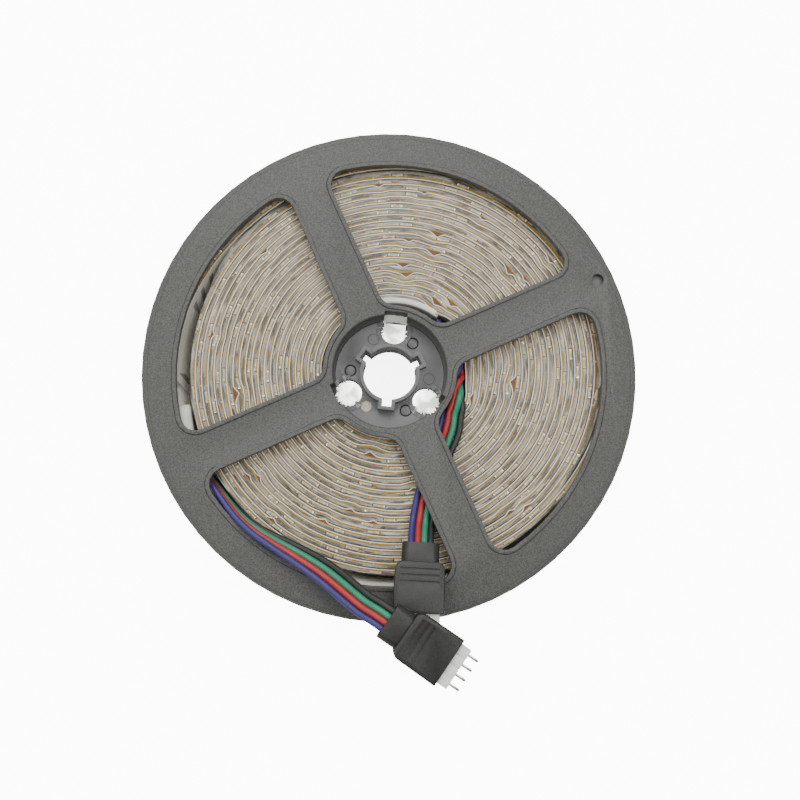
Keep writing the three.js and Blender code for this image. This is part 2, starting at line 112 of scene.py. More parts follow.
# Each stop of a flat lead is the middle of its four wires, and how far the lead is rolled there.
inner_lead_route = [
    (4.3, -22.0, 13.25, 0),
    (1.6, -24.9, 13.25, 0),
    (-1.0, -27.7, 13.25, 0),
    (-3.5, -30.6, 13.25, 0),
    (-5.7, -33.5, 13.2, 0),
    (-7.5, -36.2, 13.35, 0),
    (-8.9, -38.5, 15.1, 0),
    (-10.2, -40.9, 17.1, 0),
    (-10.75, -41.97, 17.35, 0),
]
outer_lead_route = [
    (*on_circle(52.6, 176.9, 7.4), -90),
    (*on_circle(52.1, 180.5, 8.1), -88),
    (*on_circle(51.2, 184.5, 9.6), -82),
    (*on_circle(50.4, 189.5, 11.3), -78),
    (*on_circle(50.2, 195, 13.0), -76),
    (*on_circle(50.2, 200.5, 14.5), -73),
    (*on_circle(49.9, 206, 15.7), -67),
    (*on_circle(49.4, 211.5, 16.6), -58),
    (*on_circle(49.15, 217, 17.5), -46),
    (*on_circle(49.4, 222.5, 18.7), -33),
    (*on_circle(50.2, 227.5, 20.2), -21),
    (*on_circle(51.6, 232, 21.9), -11),
    (*on_circle(53.4, 236, 23.8), -4),
    (*on_circle(55.4, 239.8, 25.7), 0),
    (-25.8, -50.75, 27.2, 0),
    (-24.33, -53.09, 27.8, 0),
    (-23.71, -54.14, 27.85, 0),
]


def wire_line(fan, route, i):
    """One wire's own route: its places in the fan, then the lead's stops, moved sideways."""
    offset = (i - (len(WIRES) - 1) / 2) * WIRE_PITCH
    line = [Vector(on_circle(places[i][0], turn, places[i][1])) for turn, *places in fan]
    middle = [Vector(stop[:3]) for stop in route]
    for k, point in enumerate(middle):
        along = middle[min(k + 1, len(middle) - 1)] - middle[max(k - 1, 0)]
        along.z = 0
        along.normalize()
        roll = math.radians(route[k][3])
        across = Vector((-along.y * math.cos(roll), along.x * math.cos(roll), math.sin(roll)))
        line.append(point + across * offset)
    return line


def smooth_line(points, between):
    """A centripetal Catmull-Rom curve through the points, with so many steps between two."""
    ends = [2 * points[0] - points[1], *points, 2 * points[-1] - points[-2]]
    line = []
    for a, b, c, d in zip(ends, ends[1:], ends[2:], ends[3:]):
        t0 = 0.0
        t1 = t0 + (b - a).length ** 0.5
        t2 = t1 + (c - b).length ** 0.5
        t3 = t2 + (d - c).length ** 0.5
        for i in range(between):
            t = t1 + (t2 - t1) * i / between
            ab = a * ((t1 - t) / (t1 - t0)) + b * ((t - t0) / (t1 - t0))
            bc = b * ((t2 - t) / (t2 - t1)) + c * ((t - t1) / (t2 - t1))
            cd = c * ((t3 - t) / (t3 - t2)) + d * ((t - t2) / (t3 - t2))
            abc = ab * ((t2 - t) / (t2 - t0)) + bc * ((t - t0) / (t2 - t0))
            bcd = bc * ((t3 - t) / (t3 - t1)) + cd * ((t - t1) / (t3 - t1))
            line.append(abc * ((t2 - t) / (t2 - t1)) + bcd * ((t - t1) / (t2 - t1)))
    return [*line, points[-1]]


def fresh_material(name, **sockets):
    """A material whose shader has these sockets set."""
    made = bpy.data.materials.new(name)
    made.use_nodes = True
    shader = made.node_tree.nodes["Principled BSDF"]
    for socket, value in sockets.items():
        shader.inputs[socket.replace("_", " ")].default_value = value
    return made


def add_node(made, kind, **settings):
    node = made.node_tree.nodes.new(kind)
    for name, value in settings.items():
        if name in node.inputs:
            node.inputs[name].default_value = value
        else:
            setattr(node, name, value)
    return node


def link(made, source, target):
    made.node_tree.links.new(source, target)


def spread(made, source, low, high, first=0, last=1, smooth=False):
    """Carries a value over from the range low to high into the range first to last."""
    node = add_node(made, "ShaderNodeMapRange")
    if smooth:
        node.interpolation_type = "SMOOTHSTEP"
    ends = {"From Min": low, "From Max": high, "To Min": first, "To Max": last}
    for socket, value in ends.items():
        node.inputs[socket].default_value = value
    link(made, source, node.inputs["Value"])
    return node.outputs[0]


def worked(made, operation, *parts):
    """The outcome of one operation on numbers and on the outcomes of other nodes."""
    node = add_node(made, "ShaderNodeMath", operation=operation)
    for socket, part in zip(node.inputs, parts):
        if isinstance(part, (int, float)):
            socket.default_value = part
        else:
            link(made, part, socket)
    return node.outputs[0]


# Grain of a moulded or extruded surface: a fine unevenness in its height and a slow drift in tone.
# Every plastic of the reel has it, each at its own scale.
grain = bpy.data.node_groups.new("moulded grain", "ShaderNodeTree")
grain.interface.new_socket("Fine Scale", in_out="INPUT", socket_type="NodeSocketFloat")
grain.interface.new_socket("Slow Scale", in_out="INPUT", socket_type="NodeSocketFloat")
grain.interface.new_socket("Fine", in_out="OUTPUT", socket_type="NodeSocketFloat")
grain.interface.new_socket("Slow", in_out="OUTPUT", socket_type="NodeSocketFloat")
grain_in = grain.nodes.new("NodeGroupInput")
grain_out = grain.nodes.new("NodeGroupOutput")
grain_place = grain.nodes.new("ShaderNodeTexCoord")
for output, detail in (("Fine", 3), ("Slow", 2)):
    grain_noise = grain.nodes.new("ShaderNodeTexNoise")
    grain_noise.inputs["Detail"].default_value = detail
    grain.links.new(grain_place.outputs["Object"], grain_noise.inputs["Vector"])
    grain.links.new(grain_in.outputs[output + " Scale"], grain_noise.inputs["Scale"])
    grain.links.new(grain_noise.outputs["Fac"], grain_out.inputs[output])

FINE_SHARE = 0.35


def grained(name, dark, light, roughness, fine, slow, depth, **sockets):
    """A plastic whose tone drifts from dark to light, with a fine moulded grain so many mm deep."""
    made = fresh_material(name, **sockets)
    shader = made.node_tree.nodes["Principled BSDF"]
    noise = add_node(made, "ShaderNodeGroup", node_tree=grain)
    noise.inputs["Fine Scale"].default_value = fine
    noise.inputs["Slow Scale"].default_value = slow
    fine_grain = noise.outputs["Fine"]
    slow_part = worked(made, "MULTIPLY", noise.outputs["Slow"], 1 - FINE_SHARE)
    tone = worked(made, "MULTIPLY_ADD", fine_grain, FINE_SHARE, slow_part)
    colour = add_node(made, "ShaderNodeMix", data_type="RGBA")
    colour.inputs["A"].default_value = (*dark, 1)
    colour.inputs["B"].default_value = (*light, 1)
    link(made, spread(made, tone, 0.3, 0.7), colour.inputs["Factor"])
    link(made, colour.outputs["Result"], shader.inputs["Base Color"])
    link(made, spread(made, fine_grain, 0, 1, *roughness), shader.inputs["Roughness"])
    bump = add_node(made, "ShaderNodeBump", Distance=depth * MM, Strength=1)
    link(made, fine_grain, bump.inputs["Height"])
    link(made, bump.outputs[0], shader.inputs["Normal"])
    return made


wire_tones = {
    "blue": ((0.026, 0.021, 0.120), (0.038, 0.031, 0.165)),
    "red": ((0.330, 0.018, 0.018), (0.430, 0.030, 0.026)),
    "green": ((0.016, 0.190, 0.105), (0.026, 0.250, 0.140)),
    "black": ((0.012, 0.012, 0.010), (0.020, 0.019, 0.017)),
}
wire_finish = {
    name: grained(
        name + " wire PVC", dark, light, (0.38, 0.52), 2600, 300, 0.03, Specular_IOR_Level=0.5
    )
    for name, (dark, light) in wire_tones.items()
}


def round_lines(name, lines, thickness, roundness, finish, closed=False):
    """Lines of a round section, drawn as curves with a thickness."""
    drawn = bpy.data.curves.new(name, "CURVE")
    drawn.dimensions = "3D"
    drawn.bevel_depth = thickness / 2 * MM
    drawn.bevel_resolution = roundness
    for line in lines:
        spline = drawn.splines.new("POLY")
        spline.points.add(len(line) - 1)
        spline.use_cyclic_u = closed
        for place, point in zip(spline.points, line):
            place.co = (*(point * MM), 1)
    drawn.materials.append(finish)
    made = bpy.data.objects.new(name, drawn)
    bpy.context.scene.collection.objects.link(made)
    return made


lead_wires = {}
for lead, fan, route in (
    ("inner_lead", inner_lead_fan, inner_lead_route),
    ("outer_lead", [], outer_lead_route),
):
    for i, colour in enumerate(WIRES):
        line = smooth_line(wire_line(fan, route, i), 6)
        name = lead + "_" + colour
        insulated = round_lines(name, [line], WIRE_DIAMETER, 4, wire_finish[colour])
        insulated.data.use_fill_caps = True
        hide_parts(name + "_wire")
        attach(insulated, "root")
        lead_wires[name] = (insulated, line)

# The spool is two like halves moulded in dark grey styrene. Each has a flat flange with four
# windows, a raised bead round each window, and a hub that is stepped down round the arbour hole.
# The flange is matt and speckled, and the mould was polished for the hub's floor, whose sheen is
# painted in as a paler, cooler tone.

FRONT_FACE = 15.9
REAR_FACE = 0.3
HUB_WALL = 13.8
HUB_FLOOR = 9.4
spool_plastic = grained(
    "dark grey styrene",
    (0.036, 0.036, 0.032),
    (0.124, 0.124, 0.114),
    (0.46, 0.62),
    5200,
    3000,
    0.04,
)


def rounded_copy(node, name, edge, finish):
    """A copy of a CAD node with its sharp edges rounded, which stands for it."""
    sharp = math.radians(35)
    bpy.ops.object.select_all(action="DESELECT")
    made = frame["nodes"][node].copy()
    made.data = made.data.copy()
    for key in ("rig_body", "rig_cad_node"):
        del made[key]
    made.parent = None
    made.name = name
    made.data.name = name
    bpy.context.scene.collection.objects.link(made)
    made.select_set(True)
    bpy.context.view_layer.objects.active = made
    bpy.ops.object.mode_set(mode="EDIT")
    bpy.ops.mesh.select_all(action="SELECT")
    bpy.ops.mesh.remove_doubles(threshold=0.000004)
    bpy.ops.mesh.dissolve_limited(angle_limit=math.radians(0.6))
    bpy.ops.object.mode_set(mode="OBJECT")
    soft = made.modifiers.new("edges", "BEVEL")
    soft.width = edge * MM
    soft.segments = 2
    soft.limit_method = "ANGLE"
    soft.angle_limit = sharp
    soft.use_clamp_overlap = True
    bpy.ops.object.modifier_apply(modifier="edges")
    bpy.ops.object.shade_smooth_by_angle(angle=sharp)
    made.data.materials.clear()
    made.data.materials.append(finish)
    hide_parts(node)
    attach(made, "root")
    return made


def tinted(made, mask, tint):
    """Mixes a tint over the material's base colour where the mask is white."""
    shader = made.node_tree.nodes["Principled BSDF"]
    before = shader.inputs["Base Color"].links[0].from_socket
    over = add_node(made, "ShaderNodeMix", data_type="RGBA")
    over.inputs["B"].default_value = (*tint, 1)
    link(made, before, over.inputs["A"])
    link(made, mask, over.inputs["Factor"])
    link(made, over.outputs["Result"], shader.inputs["Base Color"])


def axis_distance(made):
    """The distance from the reel's axis, in metres."""
    place = add_node(made, "ShaderNodeTexCoord")
    flat = add_node(made, "ShaderNodeVectorMath", operation="MULTIPLY")
    flat.inputs[1].default_value = (1, 1, 0)
    distance = add_node(made, "ShaderNodeVectorMath", operation="LENGTH")
    link(made, place.outputs["Object"], flat.inputs[0])
    link(made, flat.outputs[0], distance.inputs[0])
    return distance.outputs["Value"]


hub_mask = spread(
    spool_plastic, axis_distance(spool_plastic), HUB_WALL * MM, (HUB_WALL - 0.2) * MM
)
hub_polish = spread(spool_plastic, hub_mask, 0, 1, 1, 0.6)
spool_gloss = spool_plastic.node_tree.nodes["Principled BSDF"].inputs["Roughness"]
flange_gloss = spool_gloss.links[0].from_socket
link(spool_plastic, worked(spool_plastic, "MULTIPLY", hub_polish, flange_gloss), spool_gloss)
# Painted sheen: the polished hub floor is given a paler, cooler base colour.
tinted(spool_plastic, hub_mask, (0.128, 0.132, 0.130))

rounded_copy("front_spool_half", "front_half", 0.12, spool_plastic)
rounded_copy("rear_spool_half", "rear_half", 0.12, spool_plastic)

# A narrow groove runs round the foot of every window bead, left by the joint of the mould's insert,
# and a finer one follows the rim's step. Their shade is painted, as dark lines half sunk in both
# faces.

groove_shade = grained(
    "shaded groove", (0.020, 0.020, 0.018), (0.034, 0.034, 0.031), (0.6, 0.8), 2400, 900, 0.03
)


def window_outline(grow):
    """The outline of the flange window in the first quarter, let out by grow all round."""
    side, inner, outer = 5.25 - grow, 16.3 - grow, 51.7 + grow
    outer_corner, inner_corner = 3.8 + grow, 4 + grow
    near = side + outer_corner
    far = math.sqrt((outer - outer_corner) ** 2 - near**2)
    inner_near = side + inner_corner
    inner_far = math.sqrt((inner + inner_corner) ** 2 - inner_near**2)
    outer_turn = math.atan2(far, near)
    inner_turn = math.atan2(inner_near, inner_far)
    quarter = math.pi / 2
    points = []
    for x, y, radius, first, last, steps in (
        (near, far, outer_corner, math.pi, outer_turn, 7),
        (0, 0, outer, outer_turn, quarter - outer_turn, 40),
        (far, near, outer_corner, quarter - outer_turn, -quarter, 7),
        (inner_far, inner_near, inner_corner, 3 * quarter, math.pi + inner_turn, 7),
        (0, 0, inner, inner_turn, quarter - inner_turn, 12),
        (inner_near, inner_far, inner_corner, 3 * quarter - inner_turn, math.pi, 7),
    ):
        for i in range(steps):
            turn = first + (last - first) * i / steps
            points.append(Vector((x + radius * math.cos(turn), y + radius * math.sin(turn), 0)))
    return points


def raised_lines(name, lines, thickness, finish, closed=True):
    """Lines that are half sunk in the face they lie on."""
    made = round_lines(name, lines, thickness, 2, finish, closed)
    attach(made, "root")


# Painted shade: dark lines along the window grooves and the rim's step, on both faces.
for side, face, inwards in (("front", FRONT_FACE, -1), ("rear", REAR_FACE, 1)):
    outlines = []
    for i in range(4):
        turned = Matrix.Rotation(i * math.pi / 2, 4, "Z")
        level = Vector((0, 0, face + 0.02 * inwards))
        outlines.append([turned @ point + level for point in window_outline(1.06)])
    raised_lines(side + "_groove_shadows", outlines, 0.2, groove_shade)
    step = [Vector(on_circle(58.6, 3 * i, face + 0.03 * inwards)) for i in range(120)]
    raised_lines(side + "_rim_step_shadow", [step], 0.09, groove_shade)

# The small hole near the rim, on the reel's right, is closed by a skin of flash that is a little
# paler than the flange round it.


def short_cylinder(name, place, radius, depth, finish):
    bpy.ops.mesh.primitive_cylinder_add(
        vertices=32, radius=radius * MM, depth=depth * MM, location=Vector(place) * MM
    )
    made = bpy.context.object
    made.name = name
    bpy.ops.object.transform_apply(location=True, rotation=True, scale=True)
    made.data.materials.append(finish)
    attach(made, "root")


flash_grey = grained(
    "flash in the hole", (0.085, 0.085, 0.078), (0.16, 0.16, 0.15), (0.4, 0.6), 2200, 300, 0.04
)
short_cylinder("rim_hole_flash", (56, 0, 14.4), 1.7, 0.2, flash_grey)

# Six round marks of ejector pins lie on the hub's floor, their rims drawn as rings of painted
# shade. One of them has broken through, and the cream stub of a peg shows in its hole. Painted
# shade also lies along the floor's edge between the latch holes, as dark arcs.

PIN_CIRCLE = 9.8
pin_mark_shade = []
for i in range(6):
    middle = Vector(on_circle(PIN_CIRCLE, 30 + 60 * i, HUB_FLOOR - 0.05))
    pin_mark_shade.append([middle + Vector(on_circle(1.38, 15 * k, 0)) for k in range(24)])
# Painted shade: dark rings round the pin marks, and dark arcs along the floor's edge.
raised_lines("pin_mark_shade", pin_mark_shade, 0.11, groove_shade)
floor_edges = []
for first in (77, 197, 317):
    arc = [on_circle(HUB_WALL, first + 3.31 * i, HUB_FLOOR + 0.1) for i in range(27)]
    floor_edges.append([Vector(place) for place in arc])
raised_lines("floor_edge_shade", floor_edges, 0.7, groove_shade, closed=False)
peg_cream = grained(
    "broken peg", (0.40, 0.33, 0.27), (0.62, 0.55, 0.47), (0.4, 0.6), 1500, 700, 0.04
)
short_cylinder("broken_peg", on_circle(PIN_CIRCLE, 210, 8.7), 1.5, 1.2, peg_cream)
bpy.ops.object.shade_smooth_by_angle(angle=math.radians(35))

# The latch tongues were broken out of the hub's floor. They left ragged, whitened edges in their
# three holes, and a wrinkled film over the notch of the upper one.

LATCH_CIRCLE = 11.2
LATCH_HOLE = 3.4
TORN_FOOT = 8.5


def face_outwards(made):
    bpy.ops.object.select_all(action="DESELECT")
    made.select_set(True)
    bpy.context.view_layer.objects.active = made
    bpy.ops.object.mode_set(mode="EDIT")
    bpy.ops.mesh.select_all(action="SELECT")
    bpy.ops.mesh.normals_make_consistent(inside=False)
    bpy.ops.object.mode_set(mode="OBJECT")


def joined_pieces(name, pieces, finish):
    """One mesh of small solids, each a list of like rings of points with both ends closed."""
    corners = []
    faces = []
    for rings in pieces:
        n = len(rings[0])
        first = len(corners)
        last = first + (len(rings) - 1) * n
        for ring_points in rings:
            corners.extend(point * MM for point in ring_points)
        for start in range(first, last, n):
            for j in range(n):
                k = (j + 1) % n
                faces.append((start + j, start + n + j, start + n + k, start + k))
        faces.append(tuple(range(first, first + n)))
        faces.append(tuple(reversed(range(last, last + n))))
    mesh = bpy.data.meshes.new(name)
    mesh.from_pydata(corners, [], faces)
    made = bpy.data.objects.new(name, mesh)
    bpy.context.scene.collection.objects.link(made)
    made.data.materials.append(finish)
    face_outwards(made)
    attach(made, "root")
    return made


whitened = grained(
    "stress-whitened styrene",
    (0.10, 0.10, 0.088),
    (0.46, 0.46, 0.41),
    (0.4, 0.6),
    1700,
    900,
    0.04,
)
tear = random.Random(3)
dark_shards = []
white_shards = []
for hole in (60, 180, 300):
    middle = Vector(on_circle(LATCH_CIRCLE, hole, 0))
    ledge = []
    for k in range(15):
        turn = hole + 10 * (k - 7)
        section = ((LATCH_HOLE, TORN_FOOT), (5.0, TORN_FOOT), (5.0, 8.95), (LATCH_HOLE, 8.95))
        ledge.append([middle + Vector(on_circle(radius, turn, z)) for radius, z in section])
    dark_shards.append(ledge)
    for i in range(26):
        turn = hole - 118 + 236 * i / 25 + tear.uniform(-4, 4)
        width = tear.uniform(7, 13)
        reach = tear.uniform(0.1, 0.85)
        tip = turn + tear.uniform(-9, 9)
        top = HUB_FLOOR - 0.04 + tear.uniform(-0.25, 0.3)
        outline = ((4.5, turn - width), (4.5, turn + width), (LATCH_HOLE - 0.04 - reach, tip))
        shard = []
        for z in (TORN_FOOT, top):
            shard.append([middle + Vector(on_circle(radius, at, z)) for radius, at in outline])
        (white_shards if tear.random() < 0.35 else dark_shards).append(shard)
joined_pieces("torn_edges", dark_shards, spool_plastic)
joined_pieces("whitened_edges", white_shards, whitened)

# Painted light: the film glows faintly, so that it stays pale in the notch's shade.
torn_film = grained(
    "wrinkled film", (0.40, 0.42, 0.36), (0.74, 0.76, 0.68), (0.2, 0.4), 1500, 500, 0.06,
    Emission_Color=(0.85, 0.9, 0.8, 1), Emission_Strength=0.25,
)
film_section = ((13.2, 9.5), (14.75, 11.2), (14.75, 11.35), (13.2, 9.65))
film_rings = []
for k in range(13):
    turn = 60 + 13.2 * (k / 6 - 1)
    lift = 0.25 * math.sin(2.1 * k)
    film_rings.append([Vector(on_circle(radius, turn, z + lift)) for radius, z in film_section])
joined_pieces("notch_film", [film_rings], torn_film)

# Small marks stand on the upper spoke of the front face, cut into the mould and so raised on the
# flange: two rings and a triangle.


def ring(x, y, radius, sides):
    """A closed line of so many sides round a place on the front face."""
    middle = Vector((x, y, FRONT_FACE))
    return [middle + Vector(on_circle(radius, 90 + 360 * i / sides, 0)) for i in range(sides)]


spoke_marks = [ring(-0.8, 33.2, 0.95, 20), ring(1.4, 32.8, 0.95, 20), ring(0.1, 28.4, 1.9, 3)]
raised_lines("spoke_marks", spoke_marks, 0.16, spool_plastic)

# The strip is a copper tape with light chips under a clear silicone coat, and a white paper liner
# on its adhesive back. It is wound with the chips outwards, and the coil shows its edge. Where the
# liner has come away in a fold, it presses the turn inside it inwards.

STRIP_START = 27
STRIP_TURNS = 21.383
STRIP_END = STRIP_START + 360 * STRIP_TURNS
COIL_TOP = 12.2
COIL_BOTTOM = 2.2
PITCH = 1.579
COAT_DEPTH = 1.2
COAT_FOOT = 0.13
TAPE_BACK = 0.13
LINER_ROOM = 0.36

# The liner's folds that show from the front: angle and radius in mm of each, wide ones first.
wide_folds = [
    (17.4, 39.4), (48.1, 38.3), (46.3, 33.2), (59.1, 28.3), (56.5, 26.0), (25.7, 23.5),
    (32.6, 21.6), (233.3, 21.1), (330.6, 30.4), (164.2, 38.6),
]
narrow_folds = [
    (11.9, 49.3), (69.6, 48.3), (55.7, 47.4), (35.1, 46.1), (11.2, 41.4), (58.2, 34.5),
    (111.9, 43.8), (144, 44.8), (207.9, 46), (192.7, 42.8), (195.4, 41.2), (222.1, 39.8),
    (239.7, 37.1), (229.9, 35.3), (258, 29.3), (291.6, 47.3), (286.3, 45), (349.8, 31.5),
    (353.5, 43.1), (318.4, 21.3),
]


def eased(value):
    """Smooths a value that runs from 0 to 1, and holds it at both ends."""
    value = min(1, max(0, value))
    return value * value * (3 - 2 * value)


def past(turn, turns, angle, reach):
    """Rises from 0 to 1 over a reach in degrees, after an angle in one of the coil's turns."""
    return eased((turn - 360 * turns - angle) / reach)


def spiral(turn):
    """Radius of the tape in the undisturbed coil, at a turn in degrees from the X axis."""
    turns = turn / 360
    radius = 17.131 + PITCH * turns - 0.3 * max(0, 1 - turns) ** 2
    radius += (1.322 + 0.044 * turns) * math.cos(math.radians(turn))
    radius += (0.811 - 0.020 * turns) * math.sin(math.radians(turn))
    radius += 0.423 * math.cos(math.radians(2 * (turn + 9.5)))
    for at, half, by in ((343, 25, -1.3), (313, 15, 1.25)):
        away = (turn - at + 180) % 360 - 180
        radius += by * max(0, 1 - turns / 5) * eased(1 - abs(away) / half)
    radius += 0.9 * past(turn, 20, 290, 40)
    radius += 2.9 * past(turn, 21, 100, 65)
    return radius


def turn_at(angle, radius):
    """The turn of the coil whose tape passes nearest to this place."""
    return angle + 360 * min(range(22), key=lambda k: abs(spiral(angle + 360 * k) - radius))


pressed_places = []
for places, depth, reach in ((wide_folds, 0.95, 5.2), (narrow_folds, 0.5, 3.4)):
    for angle, radius in places:
        for below, share in ((1, 1.0), (2, 0.5), (3, 0.2)):
            at = turn_at(angle, radius) - 360 * below
            if at > 360:
                pressed_places.append((at, math.degrees(reach / radius), depth * share))


def tape_radius(turn):
    """Radius of the copper tape in the coil, pressed in beside the liner's folds."""
    radius = spiral(turn)
    for at, half, depth in pressed_places:
        if abs(turn - at) < half:
            radius -= depth * eased(1 - abs(turn - at) / half)
    return radius


def fullness(turn):
    """How far the silicone fills the room up to the next turn, 1 where the winding is even."""
    room = (tape_radius(turn + 360) - tape_radius(turn) - LINER_ROOM) / COAT_DEPTH
    if turn > STRIP_END - 360:
        return 1
    return max(0.3, min(room, max(1, 4 - room)))


def lean(turn):
    """How much further in the strip's foot stands than its top edge, on the loose outer turn."""
    out = 0.5 * past(turn, 20, 290, 40) + 0.7 * past(turn, 21, 85, 25)
    return out + 1.6 * past(turn, 21, 100, 60)


def wound_band(name, section, finish, face=0):
    """A band wound along the coil. Its cross-section is given as (out from the tape, z)."""
    steps = round(120 * STRIP_TURNS)
    rings = []
    along = []
    travelled = 0.0
    before = None
    for i in range(steps + 1):
        turn = STRIP_START + (STRIP_END - STRIP_START) * i / steps
        radius = tape_radius(turn)
        full = fullness(turn)
        leaning = lean(turn)
        here = Vector(on_circle(radius, turn, 0))
        travelled += (here - before).length if before else 0
        before = here
        along.append(travelled)
        corners = []
        for out, z in section:
            out = out * full if out > COAT_FOOT else out
            out += leaning * (z - COIL_TOP) / (COIL_TOP - COIL_BOTTOM)
            corners.append(Vector(on_circle(radius + out, turn, z)))
        rings.append(corners)
    made = joined_pieces(name, [rings], finish)
    bpy.ops.object.shade_smooth_by_angle(angle=math.radians(40))
    layer = made.data.uv_layers.new(name="along")
    for loop in made.data.loops:
        place, corner = divmod(loop.vertex_index, len(section))
        layer.data[loop.index].uv = (along[place] * MM, section[corner][face] * MM)
    return made


def along_strip(made):
    """The place along the strip, from its own UV map."""
    return add_node(made, "ShaderNodeUVMap", uv_map="along").outputs["UV"]


def parts_of(made, place):
    """The coordinates of a place, one by one."""
    split = add_node(made, "ShaderNodeSeparateXYZ")
    link(made, place, split.inputs["Vector"])
    return split.outputs


def streaked(made, stretch_along, stretch_across, low, high):
    """A mask of streaks that run along the strip."""
    stretch = add_node(made, "ShaderNodeMapping", Scale=(stretch_along, stretch_across, 1))
    streaks = add_node(made, "ShaderNodeTexNoise", Scale=1, Detail=2)
    link(made, along_strip(made), stretch.inputs["Vector"])
    link(made, stretch.outputs["Vector"], streaks.inputs["Vector"])
    return spread(made, streaks.outputs["Fac"], low, high, smooth=True)


silicone = grained(
    "silicone coat", (0.29, 0.263, 0.198), (0.41, 0.375, 0.29), (0.20, 0.34), 1400, 260, 0.04,
    Coat_Weight=0.3,
)
# Dark streaks along the coat are painted shade from the gaps between turns, and pale streaks are
# painted highlight.
tinted(silicone, streaked(silicone, 120, 1000, 0.49, 0.62), (0.125, 0.117, 0.085))
tinted(silicone, streaked(silicone, 150, 1400, 0.56, 0.70), (0.60, 0.58, 0.51))

# Painted shade shows here and there as a dark line where the coat meets the next turn, on the
# coil's top only.
across_strip = parts_of(silicone, along_strip(silicone))["Y"]
gap_shade_place = add_node(silicone, "ShaderNodeTexCoord").outputs["Object"]
gap_shade_edge = spread(silicone, across_strip, 0.82 * MM, 1.02 * MM, smooth=True)
gap_shade_height = parts_of(silicone, gap_shade_place)["Z"]
gap_shade_top = spread(silicone, gap_shade_height, (COIL_TOP - 0.42) * MM, (COIL_TOP - 0.28) * MM)
gap_shade_there = streaked(silicone, 45, 1, 0.38, 0.52)
gap_shade_on_top = worked(silicone, "MULTIPLY", gap_shade_edge, gap_shade_top)
gap_shade_mask = worked(silicone, "MULTIPLY", gap_shade_on_top, gap_shade_there)
tinted(silicone, gap_shade_mask, (0.055, 0.052, 0.042))

tape_copper = grained(
    "copper tape edge", (0.25, 0.125, 0.004), (0.43, 0.245, 0.012), (0.3, 0.45), 1600, 420, 0.02
)
tinted(tape_copper, streaked(tape_copper, 14, 20, 0.56, 0.64), (0.24, 0.085, 0.025))
tinted(tape_copper, streaked(tape_copper, 900, 20, 0.60, 0.70), (0.74, 0.62, 0.40))

silicone_section = [
    (0.11, COIL_BOTTOM),
    (COAT_DEPTH, COIL_BOTTOM + 0.4),
    (COAT_DEPTH, COIL_TOP - 0.3),
    (1.17, COIL_TOP - 0.12),
    (1.04, COIL_TOP - 0.04),
    (0.66, COIL_TOP - 0.01),
    (0.34, COIL_TOP - 0.03),
    (COAT_FOOT, COIL_TOP - 0.08),
]
tape_section = [
    (-TAPE_BACK, COIL_BOTTOM),
    (0.21, COIL_BOTTOM),
    (0.21, COIL_TOP + 0.02),
    (-TAPE_BACK, COIL_TOP + 0.02),
]
strip_coat = wound_band("strip_coat", silicone_section, silicone)
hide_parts("led_strip_coil")
wound_band("strip_tape", tape_section, tape_copper)

# The liner's face has slanted grey bars printed on it, which show where the loose outer turn leans
# outwards at the upper left.

printed_liner = grained(
    "printed liner", (0.70, 0.685, 0.60), (0.82, 0.805, 0.72), (0.45, 0.6), 1500, 90, 0.03
)
bar_parts = parts_of(printed_liner, along_strip(printed_liner))
bar_slant = worked(printed_liner, "MULTIPLY_ADD", bar_parts["Y"], 0.45, bar_parts["X"])
bar_repeat = worked(printed_liner, "PINGPONG", bar_slant, 2.1 * MM)
bar_inked = spread(printed_liner, bar_repeat, 0.95 * MM, 0.8 * MM)
bar_ends = worked(printed_liner, "COMPARE", bar_parts["Y"], 7.5 * MM, 3.2 * MM)
bar_there = streaked(printed_liner, 70, 1, 0.50, 0.52)
bar_whole = worked(printed_liner, "MULTIPLY", bar_inked, bar_ends)
bar_mask = worked(printed_liner, "MULTIPLY", bar_whole, bar_there)
tinted(printed_liner, bar_mask, (0.33, 0.33, 0.29))
liner_section = [
    (-0.37, COIL_BOTTOM),
    (-0.14, COIL_BOTTOM),
    (-0.14, COIL_TOP + 0.04),
    (-0.37, COIL_TOP + 0.04),
]
wound_band("strip_liner", liner_section, printed_liner, face=1)

# Where the liner has come off in a fold, its white edge stands out in a V towards the hub, and the
# adhesive and copper behind it show brown between the V and the tape, darkened with painted shade.

liner_paper = grained(
    "white liner", (0.66, 0.655, 0.60), (0.78, 0.775, 0.72), (0.45, 0.6), 1500, 90, 0.03
)
# Partly painted shade: the adhesive's brown is darkened, as it lies in the crease behind the fold.
fold_brown = grained(
    "adhesive in shade", (0.060, 0.018, 0.003), (0.21, 0.085, 0.008), (0.4, 0.6), 2200, 500, 0.03
)


def fold_pieces(turn, width, depth, tip):
    """The liner's V and the brown face behind it, as rings of points along the strip."""
    liner_rings = []
    brown_rings = []
    radius = tape_radius(turn)
    for i in range(13):
        u = i / 6 - 1
        there = turn + math.degrees(u * width / 2 / radius)
        near = 1 - abs(u - tip) / (1 + tip if u < tip else 1 - tip)
        inwards = depth * (0.25 * eased(near) + 0.75 * near**1.6)
        place = tape_radius(there) - TAPE_BACK - inwards
        for rings, inner, outer, foot, top in (
            (liner_rings, place - 0.24, place, COIL_TOP - 3, COIL_TOP + 0.1),
            (brown_rings, place - 0.05, place + inwards + 0.1, COIL_TOP - 0.9, COIL_TOP + 0.06),
        ):
            section = ((inner, foot), (outer, foot), (outer, top), (inner, top))
            rings.append([Vector(on_circle(edge, there, z)) for edge, z in section])
    return liner_rings, brown_rings


